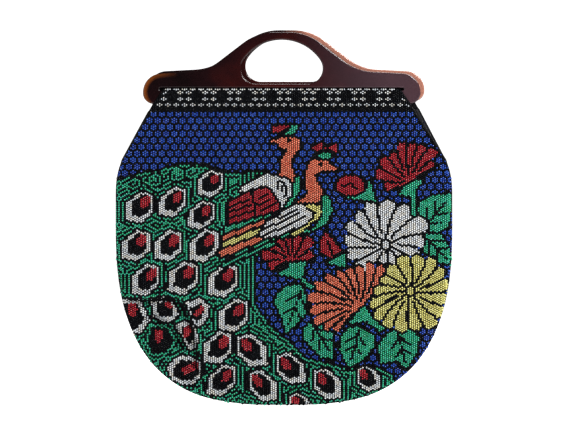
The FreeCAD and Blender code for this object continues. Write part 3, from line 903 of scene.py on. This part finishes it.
def side_beads(side):
    """The beads of one side from the base up to the header: a piece for each colour, and for the flap's head
    one more of each."""
    c, r, x, z = lattice(-HALF - 4, HALF + 4, PANEL_LOW[2] - 4, FLAP_TOP[side] - HEADER_OVERLAP)
    flap = z > -SLIT
    left, right = flap_edge(side, z)
    inside = np.zeros(x.shape)
    inside[~flap], _, _ = edge_distance(x[~flap], z[~flap])
    keep = np.where(flap, (x > left + 0.5) & (x < right - 0.5), inside > -2.2)
    c, r, x, z = c[keep], r[keep], x[keep], z[keep]
    view_x = x if side == FRONT else -x
    view_c = c if side == FRONT else -c
    colour = picture(view_c, r, view_x, z)
    points, normals = cloth_face(x, z, side)
    word = WORDS[side]
    head = z > FLAP_TOP[side] - HEAD_STRIP
    for number, name in enumerate(COLOURS):
        for label, where, bend in (
            (f"{word}_{name}_beads", ~head, blend_at_slits),
            (f"{word}_head_{name}_beads", head, blend_at_head),
        ):
            pick = where & (colour == number)
            if not pick.any():
                continue
            piece = bead_piece(label, points[pick], normals[pick], BEADS[name], seed=number + 10 * side + 20)
            bend(piece, side)


# ---- header sleeves: the cloth goes up from the tab, round the bar and down to the tab again


def sleeve_path(side):
    """The sleeve's outer face in section, from below the outer tab round the bar to the inner tab: places
    (outwards from the handle's middle, up) with their corners cut three times over, and arc lengths."""
    lift = side * HANDLE_LIFT
    path = np.array([
        (2.2, -86.0), (2.2, -76.2), (5.85, -72.0), (5.85, -57.4), (4.3, -56.0), (-4.3, -56.0),
        (-5.85, -57.4), (-5.85, -72.0), (-2.2, -76.2), (-2.2, -82.4),
    ]) + (0, lift)
    for _ in range(3):
        cut = np.stack([0.8 * path[:-1] + 0.2 * path[1:], 0.2 * path[:-1] + 0.8 * path[1:]], 1).reshape(-1, 2)
        path = np.concatenate([path[:1], cut, path[-1:]])
    steps = np.hypot(*np.diff(path, axis=0).T)
    return path, np.concatenate([[0], np.cumsum(steps)])


def sleeve_face(side, x, rise):
    """Points and outward normals of the sleeve's outer face at x and at a rise along its path."""
    path, arc = sleeve_path(side)
    place = SLEEVE_LEAD + rise
    out = np.interp(place, arc, path[:, 0])
    up = np.interp(place, arc, path[:, 1])
    ahead_out, ahead_up = np.interp(place + 0.6, arc, path[:, 0]), np.interp(place + 0.6, arc, path[:, 1])
    back_out, back_up = np.interp(place - 0.6, arc, path[:, 0]), np.interp(place - 0.6, arc, path[:, 1])
    along_out, along_up = ahead_out - back_out, ahead_up - back_up
    length = np.maximum(np.hypot(along_out, along_up), 1e-9)
    normal_out, normal_up = along_up / length, -along_out / length
    points = np.stack([x, side * (HANDLE_DEPTH + out), up], -1)
    normals = np.stack([np.zeros_like(x), side * normal_out, normal_up], -1)
    return points, normals


def sleeve_reach(side):
    """The whole rise along the path from the outer tab's foot to the inner one."""
    return sleeve_path(side)[1][-1] - SLEEVE_LEAD


def sleeve_ends(side, z):
    """Left and right ends of the sleeve at a height: they spread from the slot down to the tab's foot."""
    fallen = (side * HANDLE_LIFT - CREST_DROP - z) / (TAB_DROP - CREST_DROP)
    half = SLEEVE_HALF + SLEEVE_SPREAD * np.clip(fallen, 0, 1)
    return side * HANDLE_SHIFT - half, side * HANDLE_SHIFT + half


def sleeve_beads(side):
    """The header's beads, whose lattice runs on upwards from the flap's and over the crest."""
    foot = -TAB_DROP + side * HANDLE_LIFT
    low = FLAP_TOP[side] - HEADER_OVERLAP
    crest = sleeve_reach(side) / 2 + 1.7
    over_crest = 9
    c, r, x, flat = lattice(-HALF, HALF, low, foot + crest + over_crest)
    rise = flat - foot
    points, normals = sleeve_face(side, x, rise)
    left, right = sleeve_ends(side, points[:, 2])
    keep = (x > left + 1.0) & (x < right - 1.0) & (flat > low)
    view_c = c if side == FRONT else -c
    colour = header_picture(side, view_c, r)
    word = WORDS[side]
    edge = np.minimum(x - left, right - x) < 3.2
    colour[edge] = BLACK
    for number, name, swell in ((BLACK, "black", 0.47), (WHITE, "white", 0.41)):
        pick = keep & (colour == number)
        label = f"{word}_header_{name}_beads"
        piece = bead_piece(label, points[pick], normals[pick], BEADS[name], 50 + number + side, swell)
        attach(piece, word + "_handle")


def sleeve_cloth(side):
    """The black net under the header's beads: a closed thin band that follows the whole path."""
    rows, columns = 90, 40
    whole = sleeve_reach(side)
    rise = np.linspace(0.0, whole - 0.2, rows)
    middle, _ = sleeve_face(side, np.zeros(rows), rise)
    left, right = sleeve_ends(side, middle[:, 2])
    share = np.linspace(0, 1, columns)
    x = (left + 0.4)[:, None] + (right - left - 0.8)[:, None] * share[None, :]
    points, normals = sleeve_face(side, x, np.repeat(rise[:, None], columns, axis=1))
    points = points - normals * NET_DEPTH
    if side == FRONT:
        points, normals = points[:, ::-1], normals[:, ::-1]
    word = WORDS[side]
    band = sheet_mesh(f"{word}_header_cloth", points, normals, NET)
    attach(band, word + "_handle")
    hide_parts(word + "_header_sleeve")


# ---- the cloth and lining sheets


def cloth_grid(side, low, high, rows, columns, inset):
    """Flat places of a sheet between two heights, edge to edge: evenly down the flap and the sides,
    then by even turns of an angle round the base. inset draws the whole outline in."""
    if low < -SLIT:
        upper = np.linspace(high, -WIDEST, rows // 2, endpoint=False)
        nearly_right = 1.562
        angle = np.linspace(0, nearly_right, rows - rows // 2)
        reach = 2.4 - inset
        base_z = -WIDEST - (BASE_HEIGHT + reach) * np.sin(angle) ** (2 / BASE_POWER)
        base_half = (HALF + reach) * np.cos(angle) ** (2 / SIDE_POWER)
        z = np.concatenate([upper, base_z])
        grow = reach * smooth((-SLIT - upper) / EDGE_RUN)
        side_half = half_width(upper) + grow
        left_flap, right_flap = flap_edge(side, upper)
        above = upper > -SLIT
        left = np.concatenate([np.where(above, left_flap + inset, -side_half), -base_half])
        right = np.concatenate([np.where(above, right_flap - inset, side_half), base_half])
    else:
        z = np.linspace(high, low, rows)
        left, right = flap_edge(side, z)
        left, right = left + inset, right - inset
    share = np.linspace(0, 1, columns)
    x = left[:, None] + (right - left)[:, None] * share[None, :]
    return x, np.repeat(z[:, None], columns, axis=1)


def hanging_sheet(name, side, low, high, rows, depth, inset, material):
    """A closed sheet that follows one side's face at a depth below it."""
    x, z = cloth_grid(side, low, high, rows, 91, inset)
    points, normals = cloth_face(x, z, side)
    points = points - normals * depth
    if side == REAR:
        points, normals = points[:, ::-1], normals[:, ::-1]
    return sheet_mesh(name, points[::-1], normals[::-1], material)


def hanging_cloths(side):
    """The net and the lining of one side: one sheet from the base up to the flap's head, and one above it."""
    word = WORDS[side]
    top = FLAP_TOP[side]
    split = top - HEAD_STRIP
    for kind, depth, inset, material, slot, panel, flap in (
        ("net", NET_DEPTH, 0.0, NET, "beadwork", "_panel", "_flap_cloth"),
        ("lining", LINING_DEPTH, 0.3, LINING, "lining", "_lining", "_flap_lining"),
    ):
        body = hanging_sheet(f"{word}_bag_{kind}", side, PANEL_LOW[2], split, 120, depth, inset, material)
        blend_at_slits(body, side)
        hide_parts(word + panel)
        head = hanging_sheet(f"{word}_head_{kind}", side, split, top, 12, depth, inset, material)
        blend_at_head(head, side)
        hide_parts(word + flap)


# ---- piping, tacks


def twisted_cord(name, path, radius, strands, pitch, material):
    """A cord of twisted strands along a path: at each place the radius swells and dips with the strands, whose
    angle turns once in a pitch, and both ends narrow and close. Two unit vectors across the path carry the
    section."""
    steps = np.linalg.norm(np.diff(path, axis=0), axis=1)
    arc = np.concatenate([[0], np.cumsum(steps)])
    length = arc[-1]
    rings = int(length / (pitch / 9)) + 2
    s = np.linspace(0, length, rings)
    centre = np.stack([np.interp(s, arc, path[:, i]) for i in range(3)], -1)
    along = np.gradient(centre, axis=0)
    along /= np.linalg.norm(along, axis=1, keepdims=True)
    aside = (0.0, 1.0, 0.0) if abs(along[0, 1]) < 0.9 else (1.0, 0.0, 0.0)
    first = np.cross(along, aside)
    first /= np.linalg.norm(first, axis=1, keepdims=True)
    second = np.cross(along, first)
    sides = 12
    turn = np.linspace(0, 2 * math.pi, sides, endpoint=False)
    grid_s, grid_t = np.meshgrid(s, turn, indexing="ij")
    lobes = np.abs(np.cos(strands / 2 * (grid_t - 2 * math.pi * grid_s / pitch)))
    taper = np.sqrt(np.clip(np.minimum(grid_s, length - grid_s) / radius, 0.02, 1))
    reach = radius * (0.8 + 0.2 * lobes) * taper
    points = centre[:, None] + first[:, None] * (reach * np.cos(grid_t))[..., None]
    points = points + second[:, None] * (reach * np.sin(grid_t))[..., None]
    index = np.arange(rings * sides).reshape(rings, sides)
    wrapped = np.concatenate([index, index[:, :1]], 1)
    faces = quads(wrapped).tolist()
    faces += [index[0, ::-1].tolist(), index[-1].tolist()]
    return put_mesh(name, points, faces, material)


def flap_piping(side):
    """Twisted piping along both slanted edges of a flap, from the header over the slit's end to the pouch."""
    word = WORDS[side]
    for hand_word, hand in (("left", -1), ("right", 1)):
        z = np.linspace(FLAP_TOP[side] + 1.3, -SLIT - PIPING_TAIL, 60)
        left, right = flap_edge(side, np.maximum(z, -SLIT + 0.2))
        edge = left if hand < 0 else right
        points, normals = cloth_face(edge - hand * 0.5, np.clip(z, -SLIT + 0.2, FLAP_TOP[side]), side)
        path = points - normals * 1.2
        path[:, 0] = edge + hand * (PIPING_RADIUS - 1.0)
        path[:, 2] = z
        below = np.clip((-SLIT - z) / PIPING_TAIL, 0, 1)
        path[:, 0] += hand * 2.3 * below
        path[:, 1] *= 1 - 0.35 * below
        cord = twisted_cord(f"{word}_{hand_word}_piping", path, PIPING_RADIUS, 2, 4.5, PIPING)
        blend_at_slits(cord, side)
        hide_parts(f"{word}_{hand_word}_binding")


def bar_tacks():
    """The close stitching at each slit's end: a row of short threads through both sides of the bag."""
    for hand_word in ("left", "right"):
        node = hand_word + "_bar_tack"
        low, high = corners(node)
        middle = (low + high) / 2
        start = np.array([middle[0], low[1] + 0.3, middle[2]])
        end = np.array([middle[0], high[1] - 0.3, middle[2]])
        radius, count = 0.6, 6
        spread = (high[0] - low[0] - 2 * radius) / (count - 1)
        parts = []
        for i in range(count):
            shift = np.array([(i - (count - 1) / 2) * spread, 0, 0])
            path = np.linspace(start + shift, end + shift, 20)
            parts.append(twisted_cord(f"{node}_thread_{i + 1}", path, radius, 3, 2.4, THREAD))
        for part in parts:
            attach(part, "pouch")
        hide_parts(node)


# ---- finishes of cloth, thread and handles


def woven_material(name, colour, roughness, scale, height, sheen=0.0):
    """Matt woven cloth or cord whose shade runs from a little darker to a little paler than its colour."""
    material, tree, shader = new_material(name)
    weave = tree.nodes.new("ShaderNodeGroup")
    weave.node_tree = WEAVE
    weave.inputs["Scale"].default_value = scale
    weave.inputs["Height"].default_value = height
    stops = [(position, [c * share for c in colour]) for position, share in ((0.0, 0.7), (1.0, 1.4))]
    shade = ramp_node(tree, weave.outputs["Shade"], stops)
    tree.links.new(shade, shader.inputs["Base Color"])
    tree.links.new(weave.outputs["Normal"], shader.inputs["Normal"])
    shader.inputs["Roughness"].default_value = roughness
    shader.inputs["Specular IOR Level"].default_value = 0.15
    shader.inputs["Sheen Weight"].default_value = sheen
    return material


NET = woven_material("black_net", (0.003, 0.003, 0.004), 0.8, 300, 0.0002)
LINING = woven_material("black_satin", (0.006, 0.006, 0.009), 0.5, 900, 0.00005, 0.05)
PIPING = woven_material("piping_cord", (0.005, 0.005, 0.006), 0.6, 700, 0.0001, 0.02)
THREAD = woven_material("thread", (0.010, 0.010, 0.012), 0.6, 1200, 0.00005)
TAPE = woven_material("seam_tape", (0.015, 0.015, 0.018), 0.75, 600, 0.0001)


# the top of a handle from its middle out to its lobe: places (across, up) from the middle of its underside
HANDLE_TOP = [
    (0, 8.4), (8, 8.4), (27, 5.3), (44.5, -4.0), (58, -14.4), (71.8, -24.9), (82, -31.2), (93, -35.4),
    (104.6, -37.0), (138, -38.8), (150, -42.6), (159, -60),
]
# the float curve holds the top as shares: across of the first, up of the second counted from its floor
CURVE_REACH, CURVE_RISE, CURVE_FLOOR = 160, 100, -70
# the round of a lobe, and how wide a band of each handle's rim is paler, with painted light shining through it
LOBE_X, LOBE_Z, LOBE_RADIUS = 137.5, -60.3, 21.5
RIM_LIGHT_BAND = {FRONT: 6.0, REAR: 11.0}
# the rim's amber: partly the thin plastic's own colour, partly painted light shining through it
PAINTED_RIM_LIGHT_COLOUR = {FRONT: (0.14, 0.040, 0.007), REAR: (0.37, 0.17, 0.125)}
# how far the rim is thin and clear, with painted light through it, grows along x: its slope for each metre,
# and its value in the middle
RIM_LIGHT_SIDE = {FRONT: (-26.0, -3.1), REAR: (25.0, 0.1)}


def length_node(tree, across, up):
    """The length of a vector of two numbers: the root of the sum of their squares."""
    squares = [math_node(tree, "MULTIPLY", value, value) for value in (across, up)]
    return math_node(tree, "SQRT", math_node(tree, "ADD", *squares))


def handle_material(side):
    """Moulded plastic: dark red-brown with slow clouds, a deep red round the hand hole, a painted reflection
    that makes the face paler purple-grey towards the right, and a paler amber rim on one lobe where it is thin
    and
    clear of the other handle: partly the plastic's own colour and partly painted light shining through it. The
    rim is the band under the top curve, whose height a float curve gives from the distance to the middle."""
    material, tree, shader = new_material(WORDS[side] + "_tortoise_plastic")
    place = tree.nodes.new("ShaderNodeTexCoord").outputs["Object"]
    parts = tree.nodes.new("ShaderNodeSeparateXYZ")
    tree.links.new(place, parts.inputs[0])
    x = math_node(tree, "SUBTRACT", parts.outputs["X"], side * HANDLE_SHIFT * MM)
    z = math_node(tree, "SUBTRACT", parts.outputs["Z"], side * HANDLE_LIFT * MM)
    across = math_node(tree, "DIVIDE", math_node(tree, "ABSOLUTE", x), CURVE_REACH * MM)
    curve = tree.nodes.new("ShaderNodeFloatCurve")
    line = curve.mapping.curves[0]
    for i, (out, up) in enumerate(HANDLE_TOP):
        spot = (out / CURVE_REACH, (up - CURVE_FLOOR) / CURVE_RISE)
        if i < 2:
            line.points[i].location = spot
        else:
            line.points.new(*spot)
    curve.mapping.update()
    tree.links.new(across, curve.inputs["Value"])
    top = math_node(tree, "MULTIPLY_ADD", curve.outputs[0], CURVE_RISE * MM, CURVE_FLOOR * MM)
    below = math_node(tree, "SUBTRACT", top, z)
    lobe_x = math_node(tree, "SUBTRACT", math_node(tree, "ABSOLUTE", x), LOBE_X * MM)
    lobe_z = math_node(tree, "SUBTRACT", z, LOBE_Z * MM)
    from_end = math_node(tree, "SUBTRACT", LOBE_RADIUS * MM, length_node(tree, lobe_x, lobe_z))
    short_of_lobe = math_node(tree, "SUBTRACT", 1.0, math_node(tree, "GREATER_THAN", lobe_x, 0.0))
    depth = math_node(tree, "MINIMUM", below, math_node(tree, "ADD", from_end, short_of_lobe))
    rim = math_node(tree, "SUBTRACT", 1.0, math_node(tree, "DIVIDE", depth, RIM_LIGHT_BAND[side] * MM), clamp=True)
    rim = math_node(tree, "MULTIPLY", rim, 1.6, clamp=True)
    # painted light through the thin rim, on one lobe only and streaked by noise
    rim_light_side = math_node(tree, "MULTIPLY_ADD", x, *RIM_LIGHT_SIDE[side], clamp=True)
    streak = noise_node(tree, place, 45)
    painted_rim_light = math_node(tree, "MULTIPLY", rim, rim_light_side)
    painted_rim_light = math_node(tree, "MULTIPLY", painted_rim_light, math_node(tree, "MULTIPLY_ADD", streak, 1.2, 0.6), clamp=True)
    clouds = noise_node(tree, place, 13, 4.0)
    body = ramp_node(tree, clouds, [
        (0.30, (0.004, 0.0015, 0.002)), (0.52, (0.012, 0.003, 0.004)), (0.72, (0.040, 0.006, 0.005)),
    ])
    hole = length_node(tree, x, math_node(tree, "ADD", z, 52 * MM))
    warm = math_node(tree, "SUBTRACT", 1.0, math_node(tree, "DIVIDE", hole, 75 * MM), clamp=True)
    body = mix_node(tree, math_node(tree, "MULTIPLY", warm, 0.6), body, (0.055, 0.005, 0.004))
    # painted reflection: the face turns paler purple-grey towards the right, where a light's reflection would
    # lie
    painted_reflection = math_node(tree, "MULTIPLY_ADD", x, 9.0, -0.1, clamp=True)
    body = mix_node(tree, math_node(tree, "MULTIPLY", painted_reflection, 0.7), body, (0.078, 0.046, 0.056))
    tree.links.new(mix_node(tree, painted_rim_light, body, PAINTED_RIM_LIGHT_COLOUR[side]), shader.inputs["Base Color"])
    scratches = noise_node(tree, place, 220, 2.0)
    tree.links.new(math_node(tree, "MULTIPLY_ADD", scratches, 0.05, 0.12), shader.inputs["Roughness"])
    shader.inputs["Specular IOR Level"].default_value = 0.45
    return material


HANDLES = {side: handle_material(side) for side in WORDS}

for side in (FRONT, REAR):
    side_beads(side)
    sleeve_beads(side)
    sleeve_cloth(side)
    hanging_cloths(side)
    flap_piping(side)
bar_tacks()

for name, node in nodes.items():
    node.data.materials.clear()
    if name.endswith("_handle"):
        node.data.materials.append(HANDLES[FRONT if name.startswith("front") else REAR])
    elif name.endswith("_stitches"):
        node.data.materials.append(THREAD)
    else:
        node.data.materials.append(TAPE)

# ---- stage, light and camera

BAG_MIDDLE = Vector((0, 0, -0.2))


def area_light(name, place, width, height, power):
    """A white rectangular light in metres and watts that faces the middle of the bag."""
    lamp = bpy.data.lights.new(name, "AREA")
    lamp.shape, lamp.size, lamp.size_y, lamp.energy = "RECTANGLE", width, height, power
    thing = put_in_scene(name, lamp)
    thing.location = place
    thing.rotation_mode = "QUATERNION"
    thing.rotation_quaternion = (BAG_MIDDLE - Vector(place)).to_track_quat("-Z", "Y")


world = bpy.data.worlds.new("studio")
bpy.context.scene.world = world
world.use_nodes = True
tree = world.node_tree
background = tree.nodes["Background"]
bright = tree.nodes.new("ShaderNodeBackground")
for shade, strength in ((background, 0.10), (bright, 1.0)):
    shade.inputs["Color"].default_value = (1, 1, 1, 1)
    shade.inputs["Strength"].default_value = strength
ray = tree.nodes.new("ShaderNodeLightPath")
mix = tree.nodes.new("ShaderNodeMixShader")
tree.links.new(ray.outputs["Is Camera Ray"], mix.inputs[0])
tree.links.new(background.outputs[0], mix.inputs[1])
tree.links.new(bright.outputs[0], mix.inputs[2])
tree.links.new(mix.outputs[0], tree.nodes["World Output"].inputs["Surface"])

area_light("key_light", (1.1, -1.2, 1.1), 0.6, 0.6, 50)
area_light("fill_light", (-1.4, -1.5, 0.1), 0.9, 1.4, 14)
area_light("back_light", (0.5, 1.6, 0.8), 1.2, 1.2, 26)

# the floor is lit evenly for the camera alone, so that it meets the pale world without a band
floor_material, floor_tree, floor_shader = new_material("studio_floor")
floor_shader.inputs["Base Color"].default_value = (0.92, 0.92, 0.92, 1)
floor_shader.inputs["Roughness"].default_value = 0.95
floor_shader.inputs["Specular IOR Level"].default_value = 0.1
lift = floor_tree.nodes.new("ShaderNodeEmission")
floor_ray = floor_tree.nodes.new("ShaderNodeLightPath")
both = floor_tree.nodes.new("ShaderNodeAddShader")
strength = math_node(floor_tree, "MULTIPLY", floor_ray.outputs["Is Camera Ray"], 0.85)
floor_tree.links.new(strength, lift.inputs["Strength"])
floor_tree.links.new(floor_shader.outputs[0], both.inputs[0])
floor_tree.links.new(lift.outputs[0], both.inputs[1])
floor_tree.links.new(both.outputs[0], floor_tree.nodes["Material Output"].inputs["Surface"])
FLOOR_REACH, FLOOR_UP = 3000, PANEL_LOW[2] - 1.5
floor_corners = [(a * FLOOR_REACH, b * FLOOR_REACH, FLOOR_UP) for a, b in ((-1, -1), (1, -1), (1, 1), (-1, 1))]
floor = put_mesh("floor", floor_corners, [(0, 1, 2, 3)], floor_material)

bpy.context.scene.view_settings.view_transform = "Standard"
bpy.context.scene.view_settings.look = "Medium High Contrast"

camera_data = bpy.data.cameras.new("camera")
camera_data.lens = 138.0
camera_data.sensor_width = 36
camera = put_in_scene("camera", camera_data)
camera.location = (0.00115, -2.512, -0.2016)
camera.rotation_euler = (math.pi / 2, 0, 0)
bpy.context.scene.camera = camera
